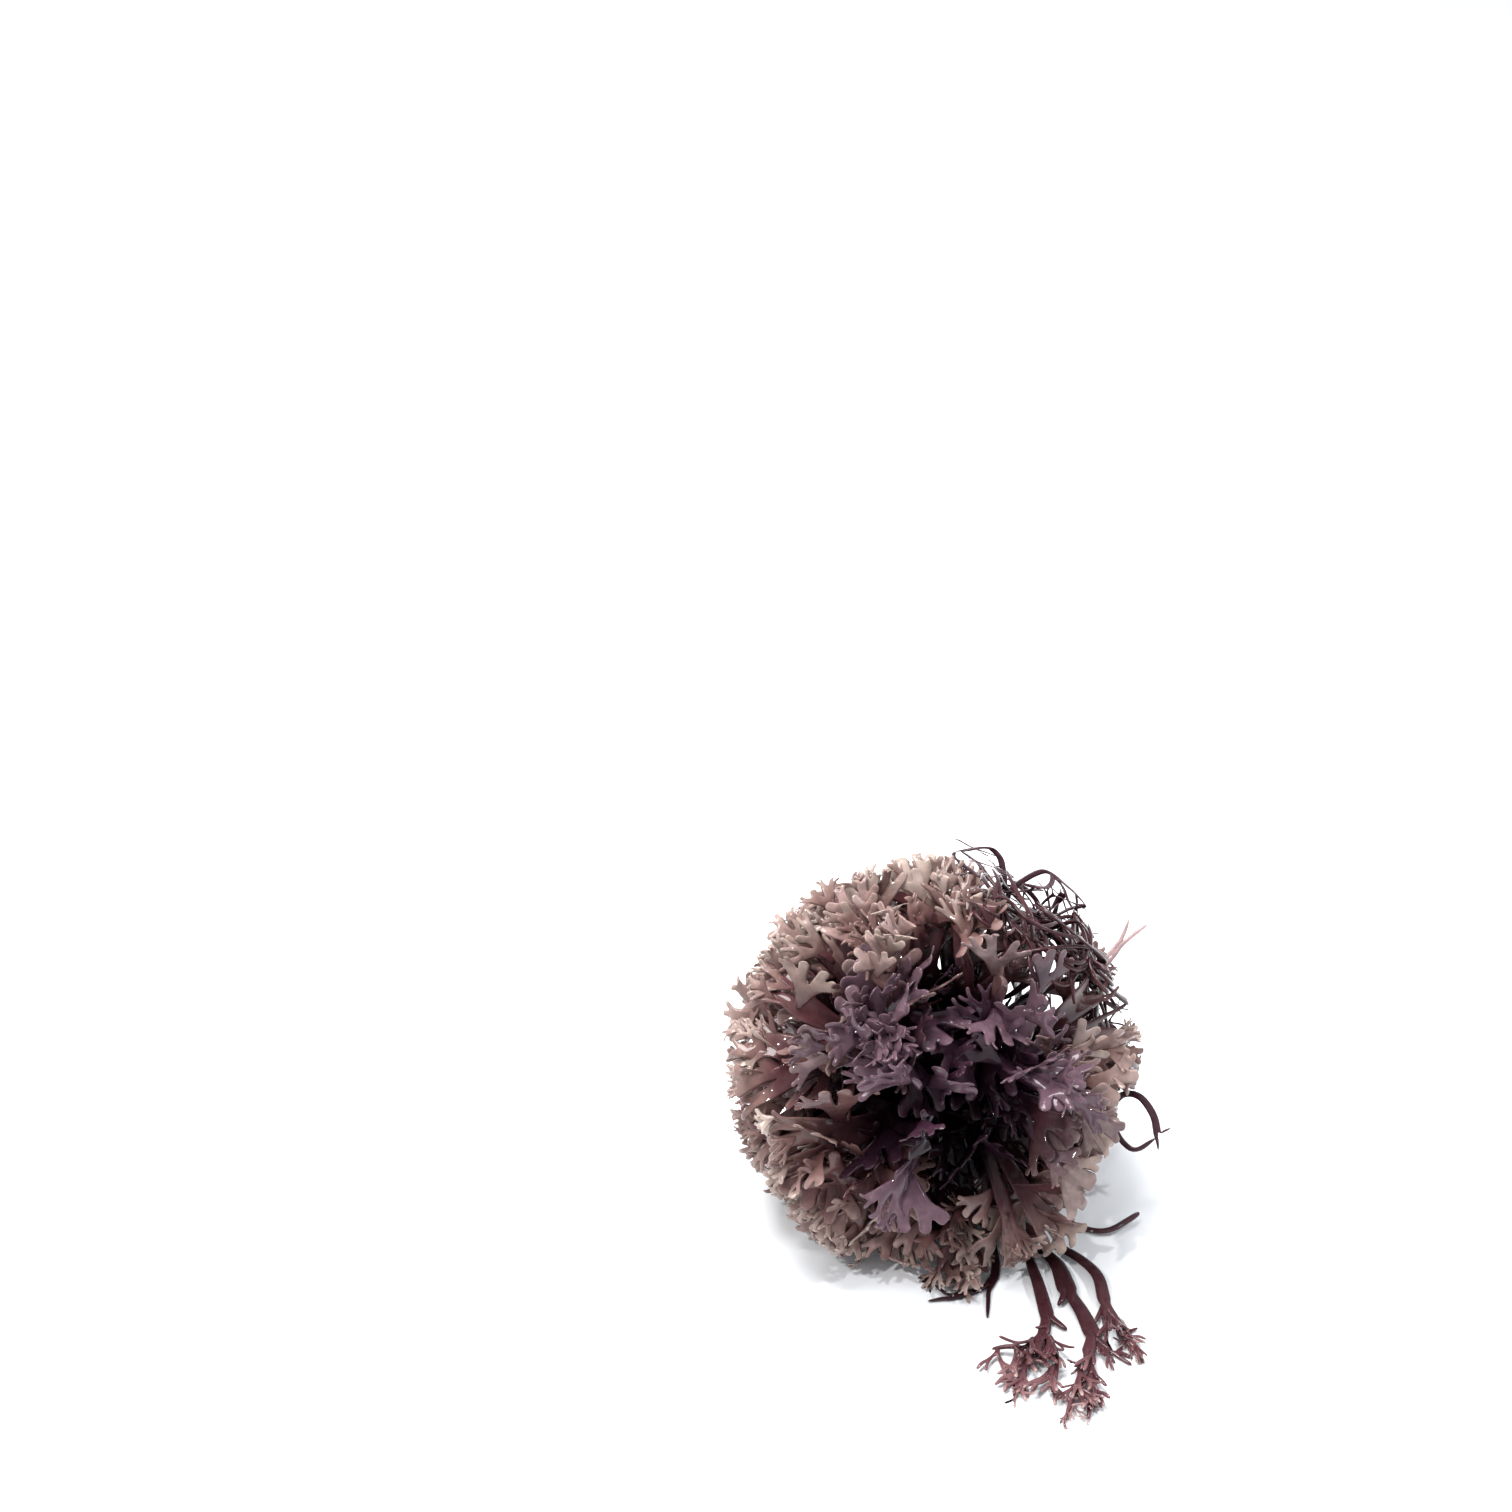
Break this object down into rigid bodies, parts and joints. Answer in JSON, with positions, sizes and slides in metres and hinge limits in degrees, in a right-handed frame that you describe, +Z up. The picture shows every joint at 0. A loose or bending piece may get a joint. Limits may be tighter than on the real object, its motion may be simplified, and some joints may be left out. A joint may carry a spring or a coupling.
{
  "type": "irish moss plant",
  "caption": "Wet rosette of flat, forked seaweed fronds on a small holdfast, with an open net of dark straps and loose trailing straps, lying on a surface.",
  "frame": {"origin": "on the surface that the plant lies on, under the middle of the area that the whole plant covers", "axes": "+Z up, +Y from the trailing straps at the front towards the back of the tuft, +X to the right"},
  "size_m": [0.1254, 0.1542, 0.0961],
  "materials": {
    "pale_frond": "wet, thin seaweed, beige-grey with a mauve tint, darker and redder towards the stalk",
    "violet_frond": "wet, thin seaweed, dark violet-purple with bluish reflections",
    "red_strap": "wet, tough strap, dark reddish purple with paler pinkish tips",
    "dark_strap": "wet, narrow strap, dark maroon-grey",
    "pale_wisp": "thin, translucent, pale pink tip",
    "holdfast": "dark, tough cushion"
  },
  "bodies": {
    "root": {"forked_strand": "red_strap", "frond_01": "violet_frond", "frond_02": "violet_frond", "frond_03": "violet_frond", "frond_04": "violet_frond", "frond_05": "violet_frond", "frond_06": "violet_frond", "frond_07": "violet_frond", "frond_08": "violet_frond", "frond_09": "pale_frond", "frond_10": "pale_frond", "frond_11": "pale_frond", "frond_12": "pale_frond", "frond_13": "pale_frond", "frond_14": "pale_frond", "frond_15": "pale_frond", "frond_16": "pale_frond", "frond_17": "pale_frond", "frond_18": "pale_frond", "frond_19": "pale_frond", "frond_20": "pale_frond", "frond_21": "pale_frond", "frond_22": "pale_frond", "frond_23": "pale_frond", "frond_24": "pale_frond", "frond_25": "pale_frond", "frond_26": "pale_frond", "frond_27": "pale_frond", "frond_28": "pale_frond", "frond_29": "pale_frond", "frond_30": "pale_frond", "frond_31": "pale_frond", "frond_32": "pale_frond", "frond_33": "pale_frond", "frond_34": "pale_frond", "frond_35": "pale_frond", "frond_36": "pale_frond", "frond_37": "pale_frond", "frond_38": "pale_frond", "frond_39": "pale_frond", "frond_40": "pale_frond", "frond_41": "pale_frond", "frond_42": "pale_frond", "frond_43": "pale_frond", "frond_44": "pale_frond", "holdfast": "holdfast", "looped_strand": "red_strap", "pale_wisp": "pale_wisp", "side_strap": "red_strap", "spray_left": "red_strap", "spray_middle": "red_strap", "spray_right": "red_strap", "trailing_stem": "red_strap", "wiry_frond_1": "dark_strap", "wiry_frond_2": "dark_strap", "wiry_frond_3": "dark_strap", "wiry_frond_4": "dark_strap", "wiry_frond_5": "dark_strap"}
  },
  "joints": []
}
